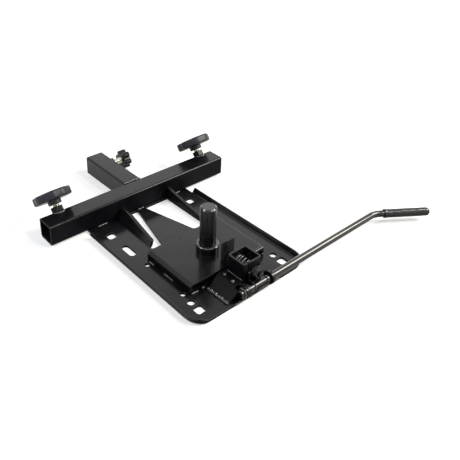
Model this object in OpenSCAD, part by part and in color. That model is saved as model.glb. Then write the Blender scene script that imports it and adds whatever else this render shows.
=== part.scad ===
// Swivel seat base with two receiver tubes, three screw clamps and a spring latch.
// Origin: underside of the base plate, straight below the spindle. +X along the cross tube, +Z up.

/* [Base plate] */
// Thickness of the pressed plate
plate_t = 3; // [2:0.5:4]
// Width between the creases of the two side rims
plate_w = 147.4; // [144:0.2:160]
// Distance from the spindle to the plate's front edge
plate_front = 71; // [70:0.5:80]
// Radius of the two front corners
corner_r = 17; // [12:0.5:22]
// Height of the side rims above the plate
rim_h = 5.4; // [4:0.2:8]
// Slope of the side rims from the level
rim_angle = 60; // [45:1:75]
// Length of plate left without a rim in front of the cross tube
rim_gap = 11.6; // [6:0.2:20]
// Inside radius of every bend in the sheets
bend_r = 1.5; // [1:0.1:2.5]

/* [Openings and flaps] */
// Distance from the spindle line to the outer side of each opening
opening_out = 38; // [34:0.5:42]
// Length of the openings in front of the cross tube
opening_len = 73; // [60:0.5:76]
// Corner radius of the openings
opening_r = 4; // [3:0.5:6]
// Strip of plate between the openings and the cross tube
opening_back = 0.8; // [0.5:0.1:3]
// Half width of the web at the cross tube
web_back = 5; // [4:0.5:8]
// Half width of the web at the front of the openings
web_front = 23.5; // [20:0.5:26]
// Height of the flaps above the plate at the cross tube
flap_back_h = 14.5; // [10:0.5:18]
// Height of the flaps above the plate at their front end
flap_front_h = 5.5; // [4:0.5:8]
// Angle through which the left flap is bent up
left_flap_angle = 53; // [45:1:90]
// Angle through which the right flap is bent up
right_flap_angle = 105; // [90:1:110]

/* [Bolt holes] */
// Side of the square holes
square_hole = 10.5; // [8.5:0.5:11.5]
// Corner radius of the square holes
square_hole_r = 2.5; // [1.5:0.5:3.5]
// Distance from the spindle line to the square holes
hole_out = 58.5; // [56:0.5:61]
// Distance of the rear square holes behind the spindle
hole_back = 97; // [80:0.5:100]
// Distance of the front square holes in front of the spindle
hole_front = 54.5; // [52.5:0.5:56]
// Diameter of the round holes behind the front square holes
round_hole_d = 8; // [5:0.5:8.5]
// Distance of the round holes in front of the spindle
round_hole_front = 42; // [40:0.5:43]
// Width of the slot
slot_w = 8.5; // [6:0.5:9]
// Length of the slot
slot_len = 21.5; // [12:0.5:26]
// Distance of the slot behind the spindle
slot_back = 62.7; // [58:0.1:70]
// Diameter of the two small holes
small_hole_d = 6; // [4:0.5:7]
// Distance from the spindle line to the small holes
small_hole_out = 57.5; // [57:0.5:60]
// Distance of the rear small hole behind the spindle
small_hole_back = 30.3; // [20:0.1:40]
// Distance of the front small hole in front of the spindle
small_hole_front = 28.2; // [10:0.1:32]

/* [Channel plate and spindle] */
// Thickness of the channel plate and the latch bracket
sheet_t = 3; // [2:0.5:4]
// Overall width of the channel plate
channel_w = 105; // [90:1:106]
// Length of the channel plate
channel_len = 70; // [66:1:76]
// Distance of the channel plate's rear edge behind the spindle
channel_back = 36.5; // [34:0.5:44]
// Height of the channel plate's top above the base plate
channel_rise = 11; // [9:0.5:13]
// Diameter of the spindle
spindle_d = 17.5; // [14:0.5:20]
// Height of the spindle above the base plate
spindle_len = 65.7; // [55:0.1:80]
// Chamfer at the top of the spindle
spindle_chamfer = 1.5; // [0.5:0.1:2.5]
// Step in from the spindle to its foot, which is inside the collar
spindle_step = 0.8; // [0.5:0.1:1.5]
// Wall of the collar
collar_wall = 3; // [2:0.5:4]
// Height of the collar
collar_h = 9.1; // [6:0.1:12]

/* [Receiver tubes] */
// Side of the square tubes
tube_size = 25; // [23:0.5:30]
// Wall of the square tubes
tube_wall = 2; // [1.5:0.5:2.5]
// Outside corner radius of the square tubes
tube_r = 2.5; // [2.2:0.1:3.5]
// Length of the cross tube
cross_len = 254.2; // [240:0.2:320]
// Distance of the cross tube's front face behind the spindle
cross_back = 121.6; // [115:0.1:130]
// Offset of the tubes' middle to the right of the spindle
tube_offset = 6.7; // [0:0.1:10]
// Length of the rear tube
rear_len = 87.6; // [60:0.2:120]

/* [Screw clamps] */
// Tilt of the cross clamps' screws from upright
clamp_angle = 38; // [30:1:50]
// Depth of the flat ground on the tube's edge under each nut
nut_land = 0.6; // [0.3:0.1:1]
// Distance of the left clamp from the tubes' middle
left_clamp_out = 103.7; // [80:0.1:110]
// Distance of the right clamp from the tubes' middle
right_clamp_out = 107.8; // [80:0.1:112]
// Distance of the rear clamp from the rear tube's open end
rear_clamp_in = 15.2; // [12:0.1:30]
// Diameter of the clamp screws
screw_d = 8; // [6:1:10]
// Thickness of the weld nuts
weld_nut_t = 6.5; // [5:0.5:8]
// Width across the flats of the weld nuts
weld_nut_af = 13; // [13:0.5:17]
// Gap between each cross clamp's knob and its nut
clamp_gap = 2.6; // [2.5:0.1:8]
// Gap between the rear clamp's knob and its nut
rear_clamp_gap = 12; // [6:0.5:16]
// Diameter of the cross clamps' knobs
knob_d = 45; // [36:1:56]
// Thickness of the cross clamps' knobs
knob_t = 10; // [8:0.5:16]
// Depth of the finger hollows round the knobs
knob_scallop = 1; // [0.5:0.1:1.5]
// Diameter of the knobs' hubs
hub_d = 16; // [14:0.5:20]
// Length of the knobs' hubs
hub_len = 5; // [3:0.5:8]
// Diameter of the rear star knob
star_d = 25; // [22:0.5:32]
// Thickness of the rear star knob
star_t = 11; // [9:0.5:16]

/* [Latch] */
// Offset of the latch to the right of the spindle
latch_x = 5.5; // [2:0.5:8]
// Height of the plunger above the channel plate's top
plunger_rise = 9; // [8.5:0.1:10]
// Diameter of the plunger
plunger_d = 6; // [5:0.5:6.5]
// Distance of the latch block's rear face in front of the spindle
block_front = 20.5; // [17:0.5:22]
// Width of the latch block
block_w = 14; // [12:0.5:18]
// Thickness of the latch block
block_t = 7; // [5:0.5:8]
// Height of the latch block
block_h = 26; // [20:0.5:32]
// Width of the spring box
box_w = 25; // [22:0.5:28]
// Depth of the spring box
box_depth = 23.5; // [20:0.5:25]
// Height of the spring box
box_h = 19.5; // [17:0.5:24]
// Distance of the spring box's front face in front of the spindle
box_front = 61; // [59.5:0.1:61]
// Distance of the slit in the box's front wall to the left of the latch
slit_left = 7.5; // [5:0.5:8]
// Width of the slit
slit_w = 2; // [1:0.5:3]
// Depth of the slit
slit_depth = 12; // [8:0.5:14]
// Number of turns of the spring
spring_turns = 6; // [4:1:7]
// Wire diameter of the spring
spring_wire = 1.6; // [1:0.1:2]
// Outside diameter of the spring
spring_d = 13; // [11:0.5:14]
// Diameter of the washer that the fork pulls
washer_d = 12; // [11:0.5:13]
// Thickness of the washer
washer_t = 1.6; // [1:0.1:2]
// Width across the flats of the plunger's nut
plunger_nut_af = 10; // [8:0.5:10]
// Thickness of the plunger's nut
plunger_nut_t = 5; // [4:0.5:6]
// Diameter of the stop pin
pin_d = 4.5; // [3:0.5:6]
// Length of the stop pin outside the box
pin_out = 17; // [8:0.5:24]
// Distance of the stop pin in front of the box's rear face
pin_in = 8.5; // [6:0.5:14]
// Height of the stop pin above the channel plate's top
pin_rise = 12.5; // [6:0.5:15]

/* [Latch bracket] */
// Distance of the bracket's rear edge in front of the spindle
bracket_back = 36; // [35:0.5:37]
// Width of the bracket's top to the left of the latch
bracket_left = 22.5; // [20:0.5:24]
// Width of the bracket's top to the right of the latch
bracket_right = 16.5; // [15:0.5:20]
// Distance of the skirt's foot to the left of the bracket's top
skirt_out = 15; // [10:0.5:20]

/* [Lever] */
// Diameter of the lever rod
rod_d = 8; // [6:0.5:8]
// Distance of the rod in front of the spindle
rod_front = 71.5; // [71.5:0.1:73]
// Height of the rod's middle above the base plate
rod_rise = 9; // [8:0.1:9]
// Distance of the rod's left end from the latch
rod_left = 27.5; // [26:0.5:40]
// Distance of the bend to the right of the spindle
rod_bend_x = 198.4; // [150:0.1:240]
// Angle of the bend
rod_bend = 34; // [20:1:50]
// Radius of the bend
rod_bend_r = 25; // [15:1:30]
// Length of the rod from its bend to the end of the grip
handle_len = 67.7; // [50:0.1:100]
// Length of the grip
grip_len = 56; // [36:0.5:60]
// Wall of the grip
grip_wall = 1.2; // [1:0.1:3]
// Thickness of the grip's closed end
grip_end = 3; // [2:0.5:5]
// Thickness of the ears
ear_t = 3; // [2:0.5:4]
// Radius of the ears round the rod
ear_r = 7; // [6:0.5:8]
// Distance of the left ear from the left edge of the bracket's top
ear_in = 3; // [2:0.5:6]
// Thickness of the fork
fork_t = 3; // [2:0.5:3.5]
// Width of each of the fork's tines
tine_w = 4.5; // [3:0.5:5]
// Height of the fork above the rod's middle
fork_h = 12.5; // [11:0.1:13.5]

/* [Fits] */
// Gap all round a shaft that turns or slides in its bore
running_gap = 0.05; // [0.03:0.01:0.08]
// Gap round a pin that is pressed or welded in
seat_gap = 0.02; // [0.01:0.01:0.03]
// Gap between faces that slide past each other
face_gap = 0.3; // [0.2:0.05:0.4]
// Gap between the plunger and the fork's tines
tine_gap = 0.5; // [0.3:0.1:1]
// Gap between the spindle and its collar
collar_gap = 0.5; // [0.2:0.1:1]
// Gap between the bracket's skirt and the rod
skirt_gap = 0.5; // [0.3:0.1:1]
// Gap round the clamp screws where they pass through the tubes
screw_hole_gap = 0.3; // [0.2:0.1:0.5]
// Gap at each end of the spring
spring_gap = 0.1; // [0.05:0.05:0.2]

/* [Hidden] */
$fn = 64;
// Cuts run this far past the faces that they cut
over = 1;
coat = "#2b2b2e";
gloss = "#141416";
zinc = "#c9c9c4";
steel = "#55555a";

// Plate
rim_foot = plate_w / 2 - bend_r * tan(rim_angle / 2);
rim_leg = (rim_h - bend_r * (1 - cos(rim_angle))) / sin(rim_angle);
rim_reach = bend_r * sin(rim_angle) + rim_leg * cos(rim_angle) + plate_t * sin(rim_angle);
plate_out = rim_foot + rim_reach;
crease_x = plate_w / 2 - corner_r;
crease_foot_r = rim_foot - crease_x;
corner_y = corner_r - plate_front;
cross_end = cross_back + tube_size;
rim_end = cross_back - rim_gap;
opening_y = cross_back - opening_len;
flap_gap = 0.2;
flap_start = opening_y + opening_r + flap_gap;

// Channel plate, spindle and tubes
channel_top = plate_t + channel_rise;
channel_bend = sheet_t + bend_r;
spindle_r = spindle_d / 2;
collar_bore_r = spindle_r + collar_gap;
foot_r = spindle_r - spindle_step;
foot_gap = 0.2;
foot_top = channel_top + collar_h + foot_gap;
tube_bore_r = max(tube_r - tube_wall, 0.5);

// Clamps: the cross clamps' axes pass through the middle of the tube's rounded upper rear edge
edge_middle = [cross_end - tube_r, plate_t + tube_size - tube_r];
left_x = tube_offset - left_clamp_out;
right_x = tube_offset + right_clamp_out;
tip_in = 1.5;
bore_share = 0.6;
knob_bore_len = hub_len + knob_t * bore_share;
star_bore_len = star_t * bore_share;
screw_end_gap = 0.3;
rear_clamp_y = cross_end + rear_len - rear_clamp_in;
rear_clamp_z = plate_t + tube_size / 2;
rear_clamp_x = tube_offset + tube_size / 2;

// Latch, all measured from the latch's own middle
plunger_z = channel_top + plunger_rise;
plunger_r = plunger_d / 2;
box_back = box_front - box_depth;
washer_back = fork_front_y() + face_gap;
spring_seat_t = 1.5;
spring_seat_rim = 1;
spring_seat_y = box_back + tube_wall + face_gap;
spring_from = box_front - tube_wall - spring_gap;
spring_len = spring_from - spring_seat_y - spring_seat_t - spring_gap;
plunger_past = 2;
plunger_end = washer_back + washer_t + plunger_nut_t + plunger_past;
pin_y = -(box_back + pin_in);
pin_z = channel_top + pin_rise;

// Lever
rod_r = rod_d / 2;
rod_z = plate_t + rod_rise;
bracket_lip = 0.2;
bracket_front = box_front + bracket_lip;
skirt_front = rod_front - rod_r - skirt_gap;
left_ear_x = latch_x - bracket_left + ear_in;
right_ear_x = latch_x + bracket_right - ear_t;
rod_reach = handle_len - grip_end;
bend_tangent = rod_bend_r * tan(rod_bend / 2);
slot_half = plunger_r + tine_gap;

// Distance in front of the spindle of the face that pulls the washer
function fork_front_y() = box_front + face_gap * 2 + fork_t;

// Unit vector along v
function unit(v) = v / norm(v);

// Points of an arc of radius r that rounds the corner p between a and b
function corner_arc(a, p, b, r, steps = 5) =
    let (u = unit(a - p), v = unit(b - p), half = acos(u * v) / 2)
    let (c = p + unit(u + v) * r / sin(half))
    let (s = p + u * r / tan(half) - c, e = p + v * r / tan(half) - c)
    let (a0 = atan2(s.y, s.x), turn = atan2(s.x * e.y - s.y * e.x, s * e))
    [for (i = [0:steps]) c + r * [cos(a0 + turn * i / steps), sin(a0 + turn * i / steps)]];

// Outline through the points, each corner rounded with its own radius
function rounded(points, radii) = [
    for (i = [0:len(points) - 1])
        let (n = len(points), before = points[(i + n - 1) % n], after = points[(i + 1) % n])
        each (radii[i] == 0 ? [points[i]] : corner_arc(before, points[i], after, radii[i]))
];

// Section of a sheet of thickness t that is bent up through an angle at u = 0
function bent_sheet(t, angle, leg, lead, steps = 4) =
    let (c = [0, t + bend_r], along = [cos(angle), sin(angle)], out = [sin(angle), -cos(angle)])
    concat(
        [[-lead, 0]],
        [for (i = [0:steps]) c + (t + bend_r) * [sin(angle * i / steps), -cos(angle * i / steps)]],
        [c + (t + bend_r) * out + leg * along, c + bend_r * out + leg * along],
        [for (i = [steps:-1:0]) c + bend_r * [sin(angle * i / steps), -cos(angle * i / steps)]],
        [[-lead, t]]
    );

module rounded_square(w, h, r) {
    square([w - 2 * r, h], center = true);
    square([w, h - 2 * r], center = true);
    for (x = [-1, 1], y = [-1, 1]) {
        translate([x * (w / 2 - r), y * (h / 2 - r)]) circle(r);
    }
}

// Turns an outline in the YZ plane into a slab from x0 to x1
module slab_yz(x0, x1) {
    translate([x0, 0, 0]) rotate([90, 0, 90]) linear_extrude(x1 - x0) children();
}

// Turns an outline in the XZ plane into a bar from y0 to y1
module bar_xz(y0, y1) {
    translate([0, y1, 0]) rotate([90, 0, 0]) linear_extrude(y1 - y0) children();
}

module plate_outline() {
    width = 2 * plate_out;
    translate([-width / 2, corner_y]) square([width, cross_end - corner_y]);
    translate([corner_r - width / 2, -plate_front]) square([width - 2 * corner_r, corner_r + over]);
    for (x = [-1, 1]) translate([x * (width / 2 - corner_r), corner_y]) circle(corner_r);
}

module side_rim() {
    section = bent_sheet(plate_t, rim_angle, rim_leg, over);
    bar_xz(corner_y, rim_end) translate([rim_foot, 0]) polygon(section);
    intersection() {
        translate([crease_x, corner_y, 0]) rotate([0, 0, -90])
            rotate_extrude(angle = 90) translate([crease_foot_r, 0]) polygon(section);
        linear_extrude(plate_t + rim_h + over) plate_outline();
    }
}

// Opening beside the web, seen from above, on the right of the spindle line
module opening_outline() {
    back = cross_back - opening_back;
    polygon(rounded(
        [[web_front, opening_y], [opening_out, opening_y], [opening_out, back], [web_back, back]],
        [opening_r, opening_r, 0, opening_r / 2]
    ));
}

// Flap bent up from the right opening's outer side
module flap(angle) {
    foot = angle > 90 ? opening_out + bend_r + plate_t : opening_out + bend_r * tan(angle / 2);
    leg = (flap_back_h - bend_r) / sin(angle);
    intersection() {
        bar_xz(flap_start, cross_back) translate([foot, 0]) mirror([1, 0])
            polygon(bent_sheet(plate_t, angle, leg, over));
        slab_yz(-plate_w / 2, plate_w / 2) polygon([
            [flap_start, 0], [cross_back, 0], [cross_back, plate_t + flap_back_h],
            [flap_start + 2, plate_t + flap_front_h], [flap_start, plate_t + 1]
        ]);
    }
}

// Strip that was bent up into a flap
module flap_cut(angle) {
    foot = angle > 90 ? opening_out + bend_r + plate_t : opening_out + bend_r * tan(angle / 2);
    translate([web_front, flap_start, -over])
        cube([foot - web_front, cross_back - opening_back - flap_start, plate_t + 2 * over]);
}

module bolt_holes() {
    for (x = [-1, 1]) {
        for (y = [hole_back, -hole_front]) {
            translate([x * hole_out, y]) rounded_square(square_hole, square_hole, square_hole_r);
        }
        translate([x * hole_out, -round_hole_front]) circle(d = round_hole_d);
    }
    translate([-hole_out, slot_back]) rounded_square(slot_w, slot_len, slot_w / 2 - 0.01);
    for (y = [small_hole_back, -small_hole_front]) {
        translate([-small_hole_out, y]) circle(d = small_hole_d);
    }
}

module base_plate() color(coat) {
    difference() {
        union() {
            linear_extrude(plate_t) intersection() {
                plate_outline();
                union() {
                    translate([-rim_foot, corner_y]) square([2 * rim_foot, cross_end - corner_y]);
                    translate([-crease_x, -plate_front]) square([2 * crease_x, corner_r + over]);
                    for (x = [-1, 1]) translate([x * crease_x, corner_y]) circle(crease_foot_r);
                    translate([-crease_x, -plate_front]) square([2 * crease_x, plate_front]);
                }
            }
            side_rim();
            mirror([1, 0, 0]) side_rim();
        }
        translate([0, 0, -over]) linear_extrude(plate_t + 2 * over) {
            opening_outline();
            mirror([1, 0]) opening_outline();
            bolt_holes();
        }
        flap_cut(right_flap_angle);
        mirror([1, 0, 0]) flap_cut(left_flap_angle);
    }
    flap(right_flap_angle);
    mirror([1, 0, 0]) flap(left_flap_angle);
}

module channel_half_outline(w, top, r) {
    translate([-w / 2, 0]) square([w, top - r]);
    translate([r - w / 2, 0]) square([w - 2 * r, top]);
    for (x = [-1, 1]) translate([x * (w / 2 - r), top - r]) circle(r);
}

module channel_plate() color(coat) {
    slit_t = 1.4;
    slit_len = 12;
    stem_len = 4;
    slit_x = -9.5;
    difference() {
        translate([0, 0, plate_t]) bar_xz(channel_back - channel_len, channel_back) difference() {
            channel_half_outline(channel_w, channel_rise, channel_bend);
            translate([0, -over])
                channel_half_outline(channel_w - 2 * sheet_t, channel_rise - sheet_t + over, bend_r);
        }
        translate([0, 0, plate_t]) cylinder(r = foot_r + seat_gap, h = channel_rise + over);
        translate([slit_x - slit_len / 2, channel_back - slit_t, plate_t + over])
            cube([slit_len, slit_t + over, channel_rise]);
        translate([slit_x - slit_t / 2, channel_back - stem_len, plate_t + over])
            cube([slit_t, stem_len, channel_rise]);
    }
}

module spindle_collar() color(coat) {
    lip = 0.8;
    translate([0, 0, channel_top]) rotate_extrude() polygon([
        [collar_bore_r, 0], [collar_bore_r + collar_wall, 0],
        [collar_bore_r + collar_wall, collar_h - lip],
        [collar_bore_r + collar_wall - lip, collar_h], [collar_bore_r, collar_h]
    ]);
}

module spindle() color(gloss) {
    top = plate_t + spindle_len;
    rotate_extrude() polygon([
        [0, plate_t], [foot_r, plate_t], [foot_r, foot_top], [spindle_r, foot_top],
        [spindle_r, top - spindle_chamfer], [spindle_r - spindle_chamfer, top], [0, top]
    ]);
}

module tube_section() {
    difference() {
        rounded_square(tube_size, tube_size, tube_r);
        rounded_square(tube_size - 2 * tube_wall, tube_size - 2 * tube_wall, tube_bore_r);
    }
}

// Puts its children on a cross clamp's axis, with z = 0 on the flat ground on the tube's edge
module on_edge(x) {
    translate([x, edge_middle.x, edge_middle.y]) rotate([-clamp_angle, 0, 0])
        translate([0, 0, tube_r - nut_land]) children();
}

// Puts its children on the rear clamp's axis, with z = 0 on the rear tube's side
module on_side() {
    translate([rear_clamp_x, rear_clamp_y, rear_clamp_z]) rotate([0, 90, 0]) children();
}

module screw_hole() {
    translate([0, 0, -tube_size / 2]) cylinder(r = screw_d / 2 + screw_hole_gap, h = tube_size);
}

module cross_tube() color(coat) {
    difference() {
        translate([tube_offset - cross_len / 2, cross_back + tube_size / 2, plate_t + tube_size / 2])
            rotate([90, 0, 90]) linear_extrude(cross_len) tube_section();
        for (x = [left_x, right_x]) {
            on_edge(x) {
                screw_hole();
                cylinder(d = weld_nut_af / cos(30) + over, h = tube_r);
            }
        }
    }
}

module rear_tube() color(coat) {
    difference() {
        translate([tube_offset, cross_end + rear_len, plate_t + tube_size / 2])
            rotate([90, 0, 0]) linear_extrude(rear_len) tube_section();
        on_side() screw_hole();
    }
}

module weld_nut() {
    difference() {
        cylinder(d = weld_nut_af / cos(30), h = weld_nut_t, $fn = 6);
        translate([0, 0, -over]) cylinder(r = screw_d / 2 + running_gap, h = weld_nut_t + 2 * over);
    }
}

module weld_nuts() color(coat) {
    on_edge(left_x) weld_nut();
    on_edge(right_x) weld_nut();
    on_side() weld_nut();
}

module latch_bracket() color(coat) {
    left = latch_x - bracket_left;
    right = latch_x + bracket_right;
    rise = channel_rise;
    slope = atan2(rise, skirt_out);
    inner = rise - sheet_t;
    outline = rounded(
        [
            [left - skirt_out, 0], [left, rise], [right, rise], [right, 0], [right - sheet_t, 0],
            [right - sheet_t, inner], [left + sheet_t * tan(slope / 2), inner],
            [left - skirt_out + sheet_t / sin(slope), 0]
        ],
        [0, channel_bend, channel_bend, 0, 0, bend_r, bend_r, 0]
    );
    skirt_clear = 2;
    translate([0, 0, plate_t]) intersection() {
        bar_xz(-skirt_front, -bracket_back) polygon(outline);
        translate([0, 0, -over]) linear_extrude(rise + 2 * over) polygon([
            [left - skirt_out - over, -bracket_back], [right + over, -bracket_back],
            [right + over, -bracket_front], [left - skirt_clear, -bracket_front],
            [left - skirt_clear, -skirt_front], [left - skirt_out - over, -skirt_front]
        ]);
    }
}

// Lug welded to the front of the bracket, seen along X, with y in front of the bracket
module ear(x) {
    reach = rod_front - bracket_front;
    lean = 20;
    difference() {
        translate([x, -bracket_front, plate_t]) rotate([90, 0, 90]) linear_extrude(ear_t) {
            translate([-reach, rod_rise]) circle(ear_r);
            polygon([
                [0, 0], [0, channel_rise],
                [-reach + ear_r * sin(lean), rod_rise + ear_r * cos(lean)],
                [-reach - ear_r, rod_rise], [-(plate_front - bracket_front), 0]
            ]);
        }
        translate([x - over, -rod_front, rod_z]) rotate([0, 90, 0])
            cylinder(r = rod_r + running_gap, h = ear_t + 2 * over);
    }
}

module left_ear() color(coat) ear(left_ear_x);

module right_ear() color(coat) ear(right_ear_x);

module along_y(y, h, d) {
    translate([latch_x, y, plunger_z]) rotate([90, 0, 0]) cylinder(d = d, h = h);
}

module spring_box() color(coat) {
    bore_d = plunger_d + 2 * running_gap;
    slit_x = latch_x - slit_left;
    difference() {
        translate([latch_x, box_depth / 2 - box_front, channel_top]) linear_extrude(box_h) difference() {
            rounded_square(box_w, box_depth, tube_r);
            rounded_square(box_w - 2 * tube_wall, box_depth - 2 * tube_wall, tube_bore_r);
        }
        along_y(-box_back + over, box_depth + 2 * over, bore_d);
        translate([slit_x, -box_front - over, channel_top + box_h - slit_depth])
            cube([slit_w, tube_wall + over + 0.1, slit_depth + over]);
        translate([latch_x, pin_y, pin_z]) rotate([0, 90, 0])
            cylinder(d = pin_d + 2 * seat_gap, h = box_w);
    }
}

module stop_pin() color(coat) {
    translate([latch_x + box_w / 2 - tube_wall, pin_y, pin_z]) rotate([0, 90, 0])
        cylinder(d = pin_d, h = tube_wall + pin_out);
}

module latch_block() color(coat) {
    round_r = 3;
    difference() {
        translate([latch_x, -block_front - block_t / 2, channel_top + face_gap])
            linear_extrude(block_h) {
                translate([-block_w / 2 + round_r, -block_t / 2]) square([block_w - round_r, block_t]);
                translate([-block_w / 2, -block_t / 2 + round_r]) square([block_w, block_t - 2 * round_r]);
                for (y = [-1, 1]) {
                    translate([-block_w / 2 + round_r, y * (block_t / 2 - round_r)]) circle(round_r);
                }
            }
        along_y(-block_front + over, block_t + 2 * over, plunger_d + 2 * seat_gap);
    }
}

module plunger_rod() color(coat) {
    chamfer = 0.6;
    translate([latch_x, -block_front, plunger_z]) rotate([90, 0, 0]) rotate_extrude() polygon([
        [0, 0], [plunger_r, 0], [plunger_r, plunger_end - block_front - chamfer],
        [plunger_r - chamfer, plunger_end - block_front], [0, plunger_end - block_front]
    ]);
}

module plunger_ring(y, t, d) {
    difference() {
        along_y(-y, t, d);
        along_y(-y + over, t + 2 * over, plunger_d + 2 * seat_gap);
    }
}

module spring_seat() color(coat) plunger_ring(spring_seat_y, spring_seat_t, spring_d + spring_seat_rim);

module plunger_washer() color(coat) plunger_ring(washer_back, washer_t, washer_d);

module plunger_nut() color(coat) {
    difference() {
        translate([latch_x, -washer_back - washer_t, plunger_z]) rotate([90, 0, 0])
            cylinder(d = plunger_nut_af / cos(30), h = plunger_nut_t, $fn = 6);
        along_y(-washer_back, washer_t + plunger_nut_t + over, plunger_d + 2 * seat_gap);
    }
}

// Compression spring as a wire of round section swept along a helix, closed flat by its end turns
module latch_spring() color(steel) {
    steps = 20;
    sides = 8;
    coil_r = (spring_d - spring_wire) / 2;
    rings = steps * spring_turns;
    rise = spring_len - spring_wire;
    // The pitch eases in and out over the end turns
    ring_y = [for (i = [0:rings]) let (t = i / rings) rise * (t - sin(360 * t) / 9)];
    points = [
        for (i = [0:rings], j = [0:sides - 1])
            let (a = 360 * i / steps, b = 360 * j / sides)
            let (r = coil_r + spring_wire / 2 * cos(b))
            [r * sin(a), ring_y[i] + spring_wire / 2 * (1 + sin(b)), r * cos(a)]
    ];
    walls = [
        for (i = [0:rings - 1], j = [0:sides - 1])
            let (k = (j + 1) % sides)
            [i * sides + j, (i + 1) * sides + j, (i + 1) * sides + k, i * sides + k]
    ];
    first = [for (j = [0:sides - 1]) j];
    last = [for (j = [sides - 1:-1:0]) rings * sides + j];
    translate([latch_x, -spring_from, plunger_z])
        polyhedron(points, concat(walls, [first, last]));
}

// Puts its children on the handle's axis, with z = 0 at the bend's corner
module on_handle() {
    translate([rod_bend_x, -rod_front, rod_z]) rotate([0, 0, -rod_bend]) rotate([0, 90, 0]) children();
}

module lever_rod() color(gloss) {
    chamfer = 0.8;
    // Bending draws the rod this much thinner, and the bend laps the straight lengths by an angle
    thinning = 0.02;
    lap = 1;
    start = latch_x - rod_left;
    straight = rod_bend_x - bend_tangent - start;
    translate([start, -rod_front, rod_z]) rotate([0, 90, 0]) rotate_extrude() polygon([
        [0, 0], [rod_r - chamfer, 0], [rod_r, chamfer], [rod_r, straight], [0, straight]
    ]);
    translate([start + straight, -rod_front - rod_bend_r, rod_z]) rotate([0, 0, 90 - rod_bend - lap])
        rotate_extrude(angle = rod_bend + 2 * lap) translate([rod_bend_r, 0]) circle(rod_r - thinning);
    on_handle() translate([0, 0, bend_tangent]) cylinder(r = rod_r, h = rod_reach - bend_tangent);
}

module lever_grip() color(gloss) {
    grip_r = rod_r + grip_wall;
    from = handle_len - grip_len;
    on_handle() difference() {
        union() {
            translate([0, 0, from]) cylinder(r = grip_r, h = grip_len - grip_r);
            translate([0, 0, handle_len - grip_r]) sphere(grip_r);
        }
        translate([0, 0, from - over]) cylinder(r = rod_r + seat_gap, h = rod_reach - from + over);
    }
}

module rod_washer() color(coat) {
    t = 2;
    rim = 2.5;
    translate([left_ear_x - face_gap - t, -rod_front, rod_z]) rotate([0, 90, 0]) difference() {
        cylinder(r = rod_r + rim, h = t);
        translate([0, 0, -over]) cylinder(r = rod_r + seat_gap, h = t + 2 * over);
    }
}

// Two tines that stand behind the washer, on a foot that is welded round the rod
module crank_fork() color(coat) {
    front = rod_front - fork_front_y();
    foot_low = -1;
    foot_high = rod_r - 0.4;
    wrap_t = 2;
    wrap_r = rod_r + wrap_t;
    width = 2 * (slot_half + tine_w);
    translate([latch_x - width / 2, -rod_front, rod_z]) difference() {
        slab_yz(0, width) difference() {
            union() {
                intersection() {
                    circle(wrap_r);
                    translate([-wrap_r, -wrap_r]) square([2 * wrap_r, wrap_r]);
                }
                translate([0, foot_low]) square([front + fork_t, foot_high - foot_low]);
                polygon(rounded(
                    [
                        [front, foot_low], [front + fork_t, foot_low],
                        [front + fork_t, fork_h], [front, fork_h]
                    ],
                    [0, 0, 1, 1]
                ));
            }
            circle(rod_r + seat_gap);
        }
        translate([width / 2 - slot_half, -rod_r, foot_high])
            cube([2 * slot_half, front + fork_t + rod_r + over, fork_h]);
    }
}

// Screw from its tip inside the tube to its end inside the knob
module clamp_screw(gap, bore_len) {
    chamfer = 1;
    end = weld_nut_t + gap + bore_len - screw_end_gap;
    translate([0, 0, -tip_in]) rotate_extrude() polygon([
        [0, 0], [screw_d / 2 - chamfer, 0], [screw_d / 2, chamfer],
        [screw_d / 2, end + tip_in], [0, end + tip_in]
    ]);
}

module left_screw() color(zinc) on_edge(left_x) clamp_screw(clamp_gap, knob_bore_len);

module right_screw() color(zinc) on_edge(right_x) clamp_screw(clamp_gap, knob_bore_len);

module rear_screw() color(zinc) on_side() clamp_screw(rear_clamp_gap, star_bore_len);

// Disc knob with rounded edges and eight shallow finger hollows
module disc_knob() {
    edge_r = 2.5;
    lobes = 8;
    hollow_r = 30;
    disc_r = knob_d / 2;
    translate([0, 0, weld_nut_t + clamp_gap]) difference() {
        union() {
            translate([0, 0, hub_len]) rotate_extrude() intersection() {
                translate([0, knob_t / 2]) rounded_square(knob_d, knob_t, edge_r);
                square([disc_r, knob_t]);
            }
            cylinder(d = hub_d, h = hub_len + over);
        }
        for (i = [0:lobes - 1]) {
            rotate([0, 0, 360 * i / lobes]) translate([disc_r - knob_scallop + hollow_r, 0, hub_len - over])
                cylinder(r = hollow_r, h = knob_t + 2 * over);
        }
        translate([0, 0, -over]) cylinder(r = screw_d / 2 + running_gap, h = knob_bore_len + over);
    }
}

// Star knob with six lobes
module star_knob() {
    lobes = 6;
    hollow_r = 4;
    hollow_in = 2.2;
    star_r = star_d / 2;
    translate([0, 0, weld_nut_t + rear_clamp_gap]) difference() {
        rotate_extrude() intersection() {
            translate([0, star_t / 2]) rounded_square(star_d, star_t, 2);
            square([star_r, star_t]);
        }
        for (i = [0:lobes - 1]) {
            rotate([0, 0, 360 * i / lobes]) translate([star_r + hollow_r - hollow_in, 0, -over])
                cylinder(r = hollow_r, h = star_t + 2 * over);
        }
        translate([0, 0, -over]) cylinder(r = screw_d / 2 + running_gap, h = star_bore_len + over);
    }
}

module left_knob() color("#34353b") on_edge(left_x) disc_knob();

module right_knob() color("#34353b") on_edge(right_x) disc_knob();

module rear_knob() color(gloss) on_side() star_knob();

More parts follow.
